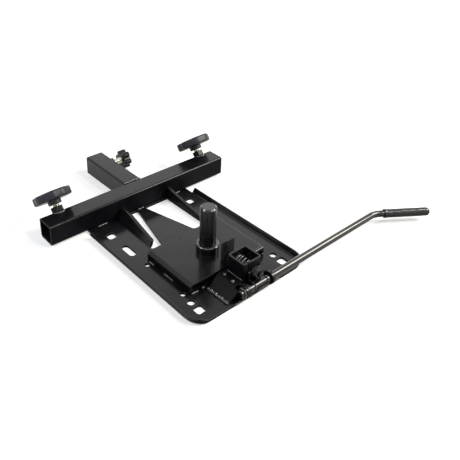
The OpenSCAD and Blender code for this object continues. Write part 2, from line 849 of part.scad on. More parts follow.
base_plate();
channel_plate();
spindle_collar();
spindle();
cross_tube();
rear_tube();
weld_nuts();
latch_bracket();
left_ear();
right_ear();
spring_box();
stop_pin();
latch_block();
plunger_rod();
spring_seat();
latch_spring();
plunger_washer();
plunger_nut();
lever_rod();
crank_fork();
rod_washer();
lever_grip();
left_screw();
right_screw();
rear_screw();
left_knob();
right_knob();
rear_knob();
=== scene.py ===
import math

import bpy
import numpy as np
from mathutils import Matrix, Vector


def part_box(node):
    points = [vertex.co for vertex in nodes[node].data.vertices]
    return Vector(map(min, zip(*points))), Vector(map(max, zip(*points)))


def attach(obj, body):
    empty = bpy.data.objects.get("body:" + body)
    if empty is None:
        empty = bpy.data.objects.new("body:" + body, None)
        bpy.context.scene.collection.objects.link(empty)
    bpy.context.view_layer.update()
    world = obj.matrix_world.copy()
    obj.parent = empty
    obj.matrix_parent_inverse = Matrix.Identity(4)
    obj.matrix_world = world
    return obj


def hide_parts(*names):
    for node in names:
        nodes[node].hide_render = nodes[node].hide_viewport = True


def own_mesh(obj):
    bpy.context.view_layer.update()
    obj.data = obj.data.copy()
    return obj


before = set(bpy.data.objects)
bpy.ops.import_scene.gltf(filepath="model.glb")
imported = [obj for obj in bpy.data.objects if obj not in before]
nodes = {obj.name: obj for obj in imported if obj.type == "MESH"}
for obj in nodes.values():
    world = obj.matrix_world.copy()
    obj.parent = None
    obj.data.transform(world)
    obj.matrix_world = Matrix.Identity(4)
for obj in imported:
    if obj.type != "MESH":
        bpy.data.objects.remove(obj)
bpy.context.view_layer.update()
mm = 0.001
bpy.context.scene.view_settings.view_transform = "Standard"
print("frame loaded:", len(nodes), "nodes")

# Camera, worked out from the photo: its place in mm, its turn and its lens in image widths
view = {"place": (-341.6, -366.0, 399.3), "yaw": 39.0, "down": 28.82, "lens": 583.1 / 460,
        "middle": (174.4 / 460, 158.5 / 460), "sensor": 36.0}


def makeCamera(v):
    data = bpy.data.cameras.new("photoCamera")
    data.sensor_width = v["sensor"]
    data.lens = v["sensor"] * v["lens"]
    data.shift_x = 0.5 - v["middle"][0]
    data.shift_y = v["middle"][1] - 0.5
    data.clip_start = 0.01
    camera = bpy.data.objects.new("photoCamera", data)
    bpy.context.scene.collection.objects.link(camera)
    camera.location = [c * mm for c in v["place"]]
    camera.rotation_euler = (math.radians(90 - v["down"]), 0, -math.radians(v["yaw"]))
    bpy.context.scene.camera = camera


makeCamera(view)

# Studio: white surround, a large soft lamp behind that sheens the top faces, a warm one from the
# right for the edges, small ones from the front and the left, and a pale floor
studio = {"surround": 1.0, "fill": 0.16, "floorSize": 6.0, "floorColour": (0.9, 0.905, 0.92, 1),
          "floorLift": 0.48, "whiteFrom": 0.25, "whiteAt": 0.7, "floorMiddle": (0.05, 0.08, 0.0)}
lamps = [
    {"name": "sheenLamp", "at": (0.85, 1.05, 0.78), "aim": (0.02, 0.03, 0.0), "size": (1.0, 0.6),
     "roll": 0, "watts": 1.2, "colour": (0.98, 0.99, 1.0)},
    {"name": "stripLamp", "at": (0.82, -0.52, 0.82), "aim": (0.06, 0.0, 0.0), "size": (0.5, 0.55),
     "roll": -33, "watts": 13.5, "colour": (1.0, 0.94, 0.83)},
    {"name": "frontLamp", "at": (0.26, -0.67, 0.96), "aim": (0.0, 0.0, 0.0), "size": (0.16, 0.16),
     "roll": 0, "watts": 3, "colour": (1.0, 0.98, 0.94)},
    {"name": "leftLamp", "at": (-0.79, 0.4, 0.93), "aim": (0.0, 0.05, 0.0), "size": (0.25, 0.25),
     "roll": 0, "watts": 5, "colour": (0.96, 0.98, 1.0)},
]


def aimAt(lamp, target):
    direction = np.array(target) - np.array(lamp.location)
    flat = math.hypot(direction[0], direction[1])
    lamp.rotation_euler = (math.pi / 2 - math.atan2(-direction[2], flat), 0,
                           math.atan2(direction[1], direction[0]) - math.pi / 2)


def makeLamps(rows):
    for row in rows:
        data = bpy.data.lights.new(row["name"], "AREA")
        data.shape = "RECTANGLE"
        data.size, data.size_y = row["size"]
        data.energy = row["watts"]
        data.color = row["colour"]
        lamp = bpy.data.objects.new(row["name"], data)
        bpy.context.scene.collection.objects.link(lamp)
        lamp.location = row["at"]
        aimAt(lamp, row["aim"])
        lamp.rotation_euler.rotate_axis("Z", math.radians(row["roll"]))


# Nodes are set by name: a socket as a value is linked, anything else is typed in
def put(tree, kind, values=None, **settings):
    made = tree.nodes.new(kind)
    for key, value in settings.items():
        setattr(made, key, value)
    for key, value in (values or {}).items():
        if isinstance(value, bpy.types.NodeSocket):
            tree.links.new(value, made.inputs[key])
        else:
            made.inputs[key].default_value = value
    return made


def maths(tree, operation, a, b=0.0):
    return put(tree, "ShaderNodeMath", {0: a, 1: b}, operation=operation).outputs[0]


def spread(tree, value, low, high, toLow=0.0, toHigh=1.0):
    return put(tree, "ShaderNodeMapRange", {"Value": value, "From Min": low, "From Max": high,
                                            "To Min": toLow, "To Max": toHigh}).outputs["Result"]


def blendColour(tree, factor, a, b):
    return put(tree, "ShaderNodeMix", {0: factor, 6: a, 7: b}, data_type="RGBA").outputs[2]


# 1 for a ray from the camera, from a mirror or through glass, and 0 for one that lights something
def seenRay(tree):
    path = put(tree, "ShaderNodeLightPath")
    seen = maths(tree, "MAXIMUM", path.outputs["Is Camera Ray"], path.outputs["Is Glossy Ray"])
    return maths(tree, "MAXIMUM", seen, path.outputs["Is Transmission Ray"])


def makeWorld(s):
    world = bpy.data.worlds.new("studio")
    world.use_nodes = True
    tree = world.node_tree
    level = spread(tree, seenRay(tree), 0.0, 1.0, s["fill"], s["surround"])
    background = tree.nodes["Background"]
    tree.links.new(level, background.inputs["Strength"])
    background.inputs["Color"].default_value = (1, 1, 1, 1)
    bpy.context.scene.world = world


# Pale floor that keeps the shadow near the object and turns white further off, as the backdrop does
def makeFloor(s):
    half = s["floorSize"] / 2
    mesh = bpy.data.meshes.new("floor")
    mesh.from_pydata([(-half, -half, 0), (half, -half, 0), (half, half, 0), (-half, half, 0)],
                     [], [(0, 1, 2, 3)])
    floor = bpy.data.objects.new("floor", mesh)
    bpy.context.scene.collection.objects.link(floor)
    material = bpy.data.materials.new("floorWhite")
    material.use_nodes = True
    shader = material.node_tree.nodes["Principled BSDF"]
    shader.inputs["Base Color"].default_value = s["floorColour"]
    shader.inputs["Roughness"].default_value = 0.9
    shader.inputs["Specular IOR Level"].default_value = 0.0
    tree = material.node_tree
    place = put(tree, "ShaderNodeTexCoord").outputs["Object"]
    away = put(tree, "ShaderNodeVectorMath", {0: place, 1: s["floorMiddle"]},
               operation="DISTANCE").outputs["Value"]
    lift = spread(tree, away, s["whiteFrom"], s["whiteAt"], s["floorLift"], 1.0)
    glow = maths(tree, "MULTIPLY", seenRay(tree), lift)
    tree.links.new(glow, shader.inputs["Emission Color"])
    shader.inputs["Emission Strength"].default_value = 1.0
    mesh.materials.append(material)


makeWorld(studio)
makeLamps(lamps)
makeFloor(studio)
print("studio made")


# Effects that several finishes share
def startGroup(name, inputs, outputs):
    group = bpy.data.node_groups.new(name, "ShaderNodeTree")
    for label, kind, value in inputs:
        socket = group.interface.new_socket(name=label, in_out="INPUT", socket_type=kind)
        socket.default_value = value
    for label, kind in outputs:
        group.interface.new_socket(name=label, in_out="OUTPUT", socket_type=kind)
    return group, group.nodes.new("NodeGroupInput"), group.nodes.new("NodeGroupOutput")


number, arrow = "NodeSocketFloat", "NodeSocketVector"


# Corners rounded for the light, how near a point is to one, and how far the rounded surface looks
# up: the spray came from above, so the upper faces have the full gloss
cornerLook = {"samples": 4, "glossFrom": 0.1, "glossTo": 0.55, "flat": 0.995, "bent": 0.86}


def makeSoftEdges(k):
    group, start, end = startGroup("softEdges", [("Radius", number, 0.0004)],
                                   [("Normal", arrow), ("Edge", number), ("Upward", number)])
    bevel = put(group, "ShaderNodeBevel", {"Radius": start.outputs["Radius"]},
                samples=k["samples"])
    flat = put(group, "ShaderNodeNewGeometry").outputs["Normal"]
    along = put(group, "ShaderNodeVectorMath", {0: bevel.outputs[0], 1: flat},
                operation="DOT_PRODUCT").outputs["Value"]
    group.links.new(bevel.outputs[0], end.inputs["Normal"])
    high = put(group, "ShaderNodeSeparateXYZ", {0: bevel.outputs[0]}).outputs[2]
    group.links.new(spread(group, high, k["glossFrom"], k["glossTo"]), end.inputs["Upward"])
    group.links.new(spread(group, along, k["flat"], k["bent"]), end.inputs["Edge"])
    return group


# Fine bumps of a sprayed coat, and broad cloudy patches
grainLook = {"fineDetail": 3.0, "fineRough": 0.55, "broadDetail": 4.0, "broadRough": 0.6,
             "cloudFrom": 0.35, "cloudTo": 0.65}


def makeCoatGrain(k):
    group, start, end = startGroup("coatGrain", [("Fine", number, 900.0), ("Broad", number, 40.0)],
                                   [("Height", number), ("Cloud", number)])
    place = put(group, "ShaderNodeTexCoord").outputs["Object"]
    fine = put(group, "ShaderNodeTexNoise", {"Vector": place, "Scale": start.outputs["Fine"],
                                             "Detail": k["fineDetail"],
                                             "Roughness": k["fineRough"]})
    broad = put(group, "ShaderNodeTexNoise", {"Vector": place, "Scale": start.outputs["Broad"],
                                              "Detail": k["broadDetail"],
                                              "Roughness": k["broadRough"]})
    group.links.new(fine.outputs[0], end.inputs["Height"])
    cloud = spread(group, broad.outputs[0], k["cloudFrom"], k["cloudTo"])
    group.links.new(cloud, end.inputs["Cloud"])
    return group


# Small pits and grains: points near the middles of the few cells whose random red is above the bar
speckBar = 0.72


def makeSpecks(bar):
    group, start, end = startGroup("specks", [("Scale", number, 400.0), ("Size", number, 0.16)],
                                   [("Mask", number)])
    place = put(group, "ShaderNodeTexCoord").outputs["Object"]
    cells = put(group, "ShaderNodeTexVoronoi", {"Vector": place, "Scale": start.outputs["Scale"]})
    near = maths(group, "LESS_THAN", cells.outputs["Distance"], start.outputs["Size"])
    rare = put(group, "ShaderNodeSeparateColor", {"Color": cells.outputs["Color"]})
    picked = maths(group, "GREATER_THAN", rare.outputs[0], bar)
    group.links.new(maths(group, "MULTIPLY", near, picked), end.inputs["Mask"])
    return group


# Thin rubbed streaks along one direction, which start softly over the fade
streakLook = {"detail": 2.0, "fade": 0.06}


def makeStreaks(k):
    group, start, end = startGroup("streaks", [("Stretch", arrow, (60.0, 1800.0, 1800.0)),
                                               ("Level", number, 0.62)], [("Mask", number)])
    place = put(group, "ShaderNodeTexCoord").outputs["Object"]
    drawn = put(group, "ShaderNodeVectorMath", {0: place, 1: start.outputs["Stretch"]},
                operation="MULTIPLY").outputs[0]
    lines = put(group, "ShaderNodeTexNoise", {"Vector": drawn, "Scale": 1.0,
                                              "Detail": k["detail"]})
    above = maths(group, "SUBTRACT", lines.outputs[0], start.outputs["Level"])
    group.links.new(spread(group, above, 0.0, k["fade"]), end.inputs["Mask"])
    return group


# Dust that lies in patches on faces that look up
dustLook = {"detail": 8.0, "rough": 0.75, "patchFrom": 0.45, "patchTo": 0.75, "upFrom": 0.6,
            "upTo": 0.95}


def makeDust(k):
    group, start, end = startGroup("dust", [("Scale", number, 160.0)], [("Mask", number)])
    up = put(group, "ShaderNodeSeparateXYZ",
             {0: put(group, "ShaderNodeNewGeometry").outputs["Normal"]}).outputs[2]
    place = put(group, "ShaderNodeTexCoord").outputs["Object"]
    lie = put(group, "ShaderNodeTexNoise", {"Vector": place, "Scale": start.outputs["Scale"],
                                            "Detail": k["detail"], "Roughness": k["rough"]})
    lies = spread(group, lie.outputs[0], k["patchFrom"], k["patchTo"])
    level = spread(group, up, k["upFrom"], k["upTo"])
    group.links.new(maths(group, "MULTIPLY", level, lies), end.inputs["Mask"])
    return group


softEdges = makeSoftEdges(cornerLook)
coatGrain = makeCoatGrain(grainLook)
specks = makeSpecks(speckBar)
streaks = makeStreaks(streakLook)
dust = makeDust(dustLook)


def use(tree, group, values):
    made = tree.nodes.new("ShaderNodeGroup")
    made.node_tree = group
    for key, value in values.items():
        made.inputs[key].default_value = value
    return made


# One finish from one dictionary. Colours run from dark to light over the cloud, edges show a
# lighter colour that is partly wear and partly a painted highlight, dust lies on top, streaks and
# the cloud move the roughness, and grain and specks the normal. edge and bumpHigh are in mm.
def makeFinish(name, f):
    material = bpy.data.materials.new(name)
    material.use_nodes = True
    tree = material.node_tree
    shader = tree.nodes["Principled BSDF"]
    grain = use(tree, coatGrain, {"Fine": f["fine"], "Broad": f["broad"]})
    edges = use(tree, softEdges, {"Radius": f["edge"] * mm})
    pits = use(tree, specks, {"Scale": f["speckScale"], "Size": f["speckSize"]})
    rubs = use(tree, streaks, {"Stretch": f["stretch"], "Level": f["streakLevel"]})
    top = use(tree, dust, {"Scale": f["dustScale"]})
    colour = blendColour(tree, grain.outputs["Cloud"], (*f["dark"], 1), (*f["light"], 1))
    # Painted highlight and wear: near the edges the colour turns lighter, partly for rubbed paint
    # and partly standing in for highlights along the edges
    wornAndHighlightedEdges = maths(tree, "MULTIPLY", edges.outputs["Edge"], f["wearAndEdgeHighlightAmount"])
    colour = blendColour(tree, wornAndHighlightedEdges, colour, (*f["wearAndEdgeHighlight"], 1))
    dusty = maths(tree, "MULTIPLY", top.outputs["Mask"], f["dustAmount"])
    colour = blendColour(tree, dusty, colour, (*f["dustColour"], 1))
    tree.links.new(colour, shader.inputs["Base Color"])
    rough = spread(tree, grain.outputs["Cloud"], 0.0, 1.0, f["rough"][0], f["rough"][1])
    rubbed = maths(tree, "MULTIPLY", rubs.outputs["Mask"], f["streakRough"])
    rough = maths(tree, "ADD", rough, rubbed)
    tree.links.new(rough, shader.inputs["Roughness"])
    shader.inputs["Metallic"].default_value = f["metal"]
    shader.inputs["Specular IOR Level"].default_value = f["specular"]
    if f["coat"] > 0:
        gloss = maths(tree, "MULTIPLY", edges.outputs["Upward"], f["coat"])
        tree.links.new(gloss, shader.inputs["Coat Weight"])
        shader.inputs["Coat Roughness"].default_value = f["coatRough"]
    height = maths(tree, "SUBTRACT", grain.outputs["Height"],
                   maths(tree, "MULTIPLY", pits.outputs["Mask"], f["speckDeep"]))
    bump = put(tree, "ShaderNodeBump", {"Height": height, "Strength": f["bump"],
                                        "Distance": f["bumpHigh"] * mm,
                                        "Normal": edges.outputs["Normal"]})
    tree.links.new(bump.outputs[0], shader.inputs["Normal"])
    return material


# In each finish the edge colour is partly real wear and partly a painted highlight along the edges
coatFinish = {"dark": (0.004, 0.0039, 0.0056), "light": (0.0085, 0.0083, 0.0105), "metal": 0.0,
              "rough": (0.3, 0.38), "specular": 0.03, "coat": 0.5, "coatRough": 0.16, "edge": 0.9,
              "wearAndEdgeHighlight": (0.03, 0.029, 0.027), "wearAndEdgeHighlightAmount": 0.5, "fine": 1100.0, "broad": 45.0,
              "bump": 0.35, "bumpHigh": 0.06, "speckScale": 380.0, "speckSize": 0.13,
              "speckDeep": 0.5, "stretch": (60.0, 1700.0, 1700.0), "streakLevel": 0.66,
              "streakRough": 0.07, "dustColour": (0.06, 0.058, 0.055), "dustAmount": 0.1,
              "dustScale": 160.0}
finishes = {
    # plateCoat: its lighter edge colour is partly wear and partly a painted highlight along the
    # plate's rims and the channel's front edge
    "plateCoat": {**coatFinish, "coat": 0.55, "edge": 1.5, "wearAndEdgeHighlight": (0.07, 0.068, 0.064),
                  "wearAndEdgeHighlightAmount": 0.8, "dustAmount": 0.16},
    "tubeCoat": {**coatFinish, "stretch": (45.0, 1500.0, 1500.0), "streakLevel": 0.62},
    "rearTubeCoat": {**coatFinish, "specular": 0.2, "coat": 0.12,
                     "stretch": (1500.0, 45.0, 1500.0), "streakLevel": 0.62},
    "nutCoat": {**coatFinish, "rough": (0.24, 0.32), "specular": 0.06, "coat": 0.2,
                "coatRough": 0.12, "edge": 0.4, "broad": 200.0},
    "bracketCoat": {**coatFinish, "coat": 0.06, "edge": 0.6, "bump": 0.6, "bumpHigh": 0.12},
    # collarCoat: the light edge colour, near half white, is a painted highlight standing in for the
    # glint ring round the collar's top rim
    "collarCoat": {**coatFinish, "rough": (0.2, 0.3), "specular": 0.3, "coat": 0.9,
                   "coatRough": 0.14, "edge": 0.45, "wearAndEdgeHighlight": (0.5, 0.48, 0.44), "wearAndEdgeHighlightAmount": 0.9,
                   "fine": 1500.0},
    "spindlePaint": {**coatFinish, "dark": (0.006, 0.006, 0.007), "light": (0.016, 0.015, 0.015),
                     "rough": (0.24, 0.34), "specular": 0.24, "coat": 0.62, "coatRough": 0.12,
                     "edge": 0.4, "wearAndEdgeHighlight": (0.3, 0.29, 0.27), "fine": 900.0, "bump": 0.2,
                     "bumpHigh": 0.04, "stretch": (900.0, 900.0, 60.0), "streakLevel": 0.58,
                     "streakRough": 0.12, "dustAmount": 0.04},
    "smallCoat": {**coatFinish, "rough": (0.26, 0.34), "specular": 0.06, "coatRough": 0.14,
                  "edge": 0.7, "wearAndEdgeHighlight": (0.1, 0.097, 0.09), "wearAndEdgeHighlightAmount": 0.8, "fine": 900.0,
                  "bump": 0.6, "bumpHigh": 0.12},
    "latchCoat": {**coatFinish, "rough": (0.2, 0.3), "specular": 0.08, "coat": 0.6,
                  "coatRough": 0.14, "edge": 0.4, "wearAndEdgeHighlight": (0.05, 0.048, 0.044), "wearAndEdgeHighlightAmount": 0.7,
                  "fine": 1700.0, "broad": 220.0},
    "blockCoat": {**coatFinish, "dark": (0.008, 0.008, 0.01), "light": (0.02, 0.02, 0.023),
                  "rough": (0.34, 0.5), "specular": 0.3, "edge": 0.35, "broad": 140.0},
    "weldCoat": {**coatFinish, "light": (0.02, 0.019, 0.018), "rough": (0.1, 0.2),
                 "specular": 0.5, "coat": 1.0, "coatRough": 0.05, "edge": 0.1, "fine": 900.0,
                 "broad": 420.0, "bump": 0.9, "bumpHigh": 0.45, "speckScale": 700.0,
                 "speckSize": 0.3},
    "glossPaint": {**coatFinish, "dark": (0.003, 0.003, 0.0035), "light": (0.006, 0.006, 0.0065),
                   "rough": (0.14, 0.22), "specular": 0.1, "coat": 1.0, "coatRough": 0.1,
                   "edge": 0.35, "wearAndEdgeHighlightAmount": 0.3, "fine": 700.0, "bump": 0.12, "bumpHigh": 0.04,
                   "dustAmount": 0.04},
    "zincPlate": {**coatFinish, "dark": (0.5, 0.48, 0.42), "light": (0.78, 0.76, 0.68),
                  "metal": 1.0, "rough": (0.22, 0.38), "specular": 0.5, "coat": 0.0, "edge": 0.15,
                  "wearAndEdgeHighlight": (0.9, 0.88, 0.8), "fine": 1300.0, "broad": 260.0,
                  "stretch": (1200.0, 1200.0, 90.0), "dustAmount": 0.0},
    "springSteel": {**coatFinish, "dark": (0.05, 0.05, 0.055), "light": (0.16, 0.155, 0.15),
                    "metal": 1.0, "rough": (0.28, 0.42), "specular": 0.5, "coat": 0.0,
                    "edge": 0.1, "wearAndEdgeHighlight": (0.6, 0.58, 0.52), "wearAndEdgeHighlightAmount": 0.4, "broad": 300.0,
                    "dustAmount": 0.0},
    "knobPlastic": {**coatFinish, "dark": (0.017, 0.019, 0.025), "light": (0.024, 0.026, 0.034),
                    "rough": (0.36, 0.44), "specular": 0.22, "coat": 0.12, "coatRough": 0.24,
                    "edge": 0.2, "wearAndEdgeHighlight": (0.05, 0.052, 0.06), "wearAndEdgeHighlightAmount": 0.35, "fine": 1500.0,
                    "broad": 60.0, "bump": 0.25, "bumpHigh": 0.035,
                    "stretch": (1500.0, 1500.0, 80.0), "dustAmount": 0.05},
    "starPlastic": {**coatFinish, "dark": (0.005, 0.005, 0.006), "light": (0.009, 0.009, 0.011),
                    "rough": (0.12, 0.2), "specular": 0.2, "coat": 0.2, "coatRough": 0.14,
                    "edge": 0.2, "wearAndEdgeHighlightAmount": 0.2, "bump": 0.12, "bumpHigh": 0.03,
                    "dustAmount": 0.03},
    "dippedGrip": {**coatFinish, "dark": (0.004, 0.004, 0.005), "light": (0.008, 0.008, 0.009),
                   "rough": (0.16, 0.26), "specular": 0.12, "coat": 0.9, "coatRough": 0.14,
                   "edge": 0.2, "wearAndEdgeHighlightAmount": 0.2, "fine": 420.0, "broad": 90.0, "bump": 0.18,
                   "bumpHigh": 0.08, "dustAmount": 0.04},
}
finish = {name: makeFinish(name, values) for name, values in finishes.items()}
print("finishes made:", len(finish))

nodeFinish = {
    "base_plate": "plateCoat", "channel_plate": "plateCoat", "spindle_collar": "collarCoat",
    "spindle": "spindlePaint", "cross_tube": "tubeCoat", "rear_tube": "rearTubeCoat",
    "weld_nuts": "nutCoat", "latch_bracket": "bracketCoat", "left_ear": "smallCoat",
    "right_ear": "smallCoat", "spring_box": "smallCoat", "stop_pin": "smallCoat",
    "latch_block": "latchCoat", "plunger_rod": "latchCoat", "spring_seat": "latchCoat",
    "latch_spring": "springSteel", "plunger_washer": "latchCoat", "plunger_nut": "latchCoat",
    "lever_rod": "glossPaint", "crank_fork": "smallCoat", "rod_washer": "latchCoat",
    "lever_grip": "dippedGrip", "left_screw": "zincPlate", "right_screw": "zincPlate",
    "rear_screw": "zincPlate", "left_knob": "knobPlastic", "right_knob": "knobPlastic",
    "rear_knob": "starPlastic",
}
for name, node in nodes.items():
    node.data.materials.clear()
    node.data.materials.append(finish[nodeFinish[name]])


# A surface from a grid of points: point i, j is step i along and j around, and each four neighbours
# make a face. A grid that doesn't join up along its length is closed by one face at each end. The
# faces are turned outwards by the sign of the volume that they enclose.
def surfacePiece(name, points, finishName, body, joinedAlong=False):
    along, around = points.shape[:2]
    index = np.arange(along * around).reshape(along, around)
    first = index if joinedAlong else index[:-1]
    second = np.roll(index, -1, 0) if joinedAlong else index[1:]
    quads = np.stack((first, second, np.roll(second, -1, 1), np.roll(first, -1, 1)), -1)
    quads = quads.reshape(-1, 4)
    flat = points.reshape(-1, 3)
    a, b, c, d = (flat[quads[:, k]] for k in range(4))
    volume = np.sum(a * np.cross(b, c)) + np.sum(a * np.cross(c, d))
    faces = quads.tolist()
    if not joinedAlong:
        faces += [index[0][::-1].tolist(), index[-1].tolist()]
        for ring, sign in ((points[0], -1), (points[-1], 1)):
            middle = ring.mean(0)
            volume += sign * np.sum(middle * np.cross(ring, np.roll(ring, -1, 0)))
        faces[-2], faces[-1] = faces[-2][::-1], faces[-1][::-1]
    if volume < 0:
        faces = [face[::-1] for face in faces]
    mesh = bpy.data.meshes.new(name)
    mesh.from_pydata((flat * mm).tolist(), [], faces)
    mesh.shade_smooth()
    mesh.materials.append(finish[finishName])
    piece = bpy.data.objects.new(name, mesh)
    bpy.context.scene.collection.objects.link(piece)
    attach(piece, body)
    return piece


# A profile with its corners eased: at each corner a quadratic curve leaves one side and joins the
# next, starting the corner's own ease away from it
def eased(corners, steps=7):
    at = np.array([corner[:2] for corner in corners], float)
    t = np.linspace(0, 1, steps)[:, None]
    out = [at[:1]]
    for k in range(1, len(at) - 1):
        ease = corners[k][2]
        if ease == 0:
            out.append(at[k:k + 1])
            continue
        back = (at[k - 1] - at[k]) / np.linalg.norm(at[k - 1] - at[k]) * ease
        on = (at[k + 1] - at[k]) / np.linalg.norm(at[k + 1] - at[k]) * ease
        out.append((1 - t) ** 2 * (at[k] + back) + 2 * t * (1 - t) * at[k] + t ** 2 * (at[k] + on))
    out.append(at[-1:])
    return np.concatenate(out)


# A profile of radius and height turned round the local z axis. pull gives how far the outline
# moves inwards at each angle: nothing at span's first radius, all of it at the second.
def turned(profile, around, pull=None, span=(0.0, 1.0)):
    angle = np.linspace(0, 2 * np.pi, around, endpoint=False)[None, :]
    radius, high = profile[:, :1], profile[:, 1:]
    if pull is not None:
        share = np.clip((radius - span[0]) / (span[1] - span[0]), 0, 1)
        radius = radius - share * share * (3 - 2 * share) * pull(angle)
    radius = radius + 0 * angle
    return np.stack((radius * np.cos(angle), radius * np.sin(angle), high + 0 * angle), -1)


# Outline of a knob with hollows: a circle of radius R, cut by circles of radius r whose middles
# stand at C on even angles; the pull is what a soft minimum of the two takes off R. Past a hollow's
# edge the cut rises steeply away, and the exponent is held within a limit.
steepRise, exponentLimit = 40, 40


def hollowPull(k):
    reach = k["radius"] - k["hollowDeep"] + k["hollowRadius"]
    last = math.asin(min(1.0, k["hollowRadius"] / reach))

    def pull(angle):
        turn = 2 * np.pi / k["hollows"]
        off = np.abs((angle + turn / 2) % turn - turn / 2)
        root = np.sqrt(np.maximum(k["hollowRadius"] ** 2 - (reach * np.sin(off)) ** 2, 0))
        cut = reach * np.cos(off) - root + steepRise * np.maximum(off - last, 0)
        soft = k["softness"]
        exponent = np.clip((k["radius"] - cut) / soft, -exponentLimit, exponentLimit)
        return soft * np.log1p(np.exp(exponent))
    return pull


# Local frames of the clamps: the foot of the nut, and the three directions as rows. The cross
# clamps lean on the tube's rear upper edge, which is ground flat there up to the land.
clampTilt = math.radians(38)
tubeEdge = {"y": 144.1, "z": 25.5, "land": 1.9}


def edgeFrame(x, tilt=clampTilt):
    out = np.array((0, math.sin(tilt), math.cos(tilt)))
    turn = np.array(((1, 0, 0), (0, math.cos(tilt), -math.sin(tilt)), out))
    return np.array((x, tubeEdge["y"], tubeEdge["z"])) + tubeEdge["land"] * out, turn


sideFrame = (np.array((19.2, 219.0, 15.5)), np.array(((0, 0, -1), (0, 1, 0), (1, 0, 0)), float))


def placed(points, place):
    return place[0] + points @ place[1]


# Screw thread: the radius falls and rises once a pitch along the screw and once round it, so the
# crest runs as a helix, and it dies away towards both ends. A slope over a half flattens the
# crests.
thread = {"outer": 4.0, "pitch": 1.25, "deep": 0.72, "stepsEachPitch": 10, "around": 28,
          "from": -1.5, "fade": 1.2, "point": 0.9, "crestSlope": 0.62, "longEnd": 24.8,
          "shortEnd": 19.8}


def threadedScrew(t, end):
    rings = int((end - t["from"]) / t["pitch"] * t["stepsEachPitch"])
    high = np.linspace(t["from"], end, rings)[:, None]
    angle = np.linspace(0, 2 * np.pi, t["around"], endpoint=False)[None, :]
    phase = 2 * np.pi * high / t["pitch"] - angle
    crest = np.clip(0.5 + t["crestSlope"] * np.cos(phase), 0, 1)
    near = np.minimum(high - t["from"], end - high)
    live = np.clip(near / t["fade"], 0, 1)
    point = t["point"] * np.clip(1 - near / t["point"], 0, 1)
    radius = t["outer"] - t["deep"] * (1 - crest) * live - point
    return np.stack((radius * np.cos(angle), radius * np.sin(angle), high + 0 * angle), -1)


discKnob = {"radius": 22.5, "hollows": 8, "hollowRadius": 30.0, "hollowDeep": 1.0, "softness": 0.22,
            "hub": 8.0, "hubFoot": 9.1, "disc": (14.1, 24.1), "bore": 4.05, "boreEnd": 20.1,
            "ease": 2.5, "dish": 0.5, "dishRim": 17.0, "dishEdge": 15.6, "under": 14.0,
            "pullSpan": (12.0, 19.0), "centre": 1.0, "around": 160}
starKnob = {"radius": 12.5, "hollows": 6, "hollowRadius": 4.2, "hollowDeep": 3.0, "softness": 0.45,
            "foot": 18.5, "top": 29.5, "bore": 4.05, "boreEnd": 25.1, "ease": 2.0, "footRing": 7.0,
            "crown": 7.5, "crownRise": 0.2, "pullSpan": (4.5, 10.0), "centre": 1.0, "around": 132}


# Disc knob: bore, hub, the disc's eased edges and a shallow dish in its top, as one turned profile
# of radius, height and ease at each corner
def discKnobSurface(k):
    low, high = k["disc"]
    sunk = high - k["dish"]
    profile = eased([
        (k["centre"], k["boreEnd"], 0), (k["bore"], k["boreEnd"], 0.3),
        (k["bore"], k["hubFoot"], 0.3), (k["hub"], k["hubFoot"], 0.9), (k["hub"], low, 1.0),
        (k["under"], low, 0.3), (k["radius"], low, k["ease"]), (k["radius"], high, k["ease"]),
        (k["dishRim"], high, 0.9), (k["dishEdge"], sunk, 0.7), (k["hub"], sunk, 0.5),
        (k["centre"], high - k["dish"] * 0.8, 0)])
    return turned(profile, k["around"], hollowPull(k), k["pullSpan"])


# Star knob: bore, foot, sides and a low crown, as one turned profile
def starKnobSurface(k):
    profile = eased([
        (k["centre"], k["boreEnd"], 0), (k["bore"], k["boreEnd"], 0.2), (k["bore"], k["foot"], 0.3),
        (k["footRing"], k["foot"], 0.2), (k["radius"], k["foot"], k["ease"]),
        (k["radius"], k["top"] - k["crownRise"], k["ease"]), (k["crown"], k["top"], 0.8),
        (k["centre"], k["top"], 0)])
    return turned(profile, k["around"], hollowPull(k), k["pullSpan"])


clamps = [("left", edgeFrame(-97.0)), ("right", edgeFrame(114.5))]
for side, place in clamps:
    stud = placed(threadedScrew(thread, thread["shortEnd"]), place)
    screw = surfacePiece(side + "ClampScrew", stud, "zincPlate", side + "_clamp")
    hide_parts(side + "_screw")
    knob = surfacePiece(side + "DiscKnob", placed(discKnobSurface(discKnob), place), "knobPlastic",
                        side + "_hand_knob")
    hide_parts(side + "_knob")
stud = placed(threadedScrew(thread, thread["longEnd"]), sideFrame)
screw = surfacePiece("rearClampScrew", stud, "zincPlate", "rear_clamp")
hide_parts("rear_screw")
knob = surfacePiece("rearStarKnob", placed(starKnobSurface(starKnob), sideFrame), "starPlastic",
                    "rear_hand_knob")
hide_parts("rear_knob")
print("clamp screws and knobs made")

# Spring: a round wire carried along a helix that closes up at both ends, where a sine over closing
# takes the pitch down
spring = {"axis": (5.5, 23.0), "from": -58.1, "length": 15.9, "coil": 6.1, "wire": 0.75, "turns": 6,
          "closing": 9, "stepsEachTurn": 32, "around": 12}


def springSurface(s):
    t = np.linspace(0, 1, s["turns"] * s["stepsEachTurn"] + 1)
    angle = 2 * np.pi * s["turns"] * t
    along = s["from"] + s["length"] * (t - np.sin(2 * np.pi * t) / s["closing"])
    line = np.stack((s["axis"][0] + s["coil"] * np.sin(angle), along,
                     s["axis"][1] + s["coil"] * np.cos(angle)), -1)
    out = np.stack((np.sin(angle), 0 * angle, np.cos(angle)), -1)
    return tube(line, np.full(len(t), s["wire"]), out, s["around"])


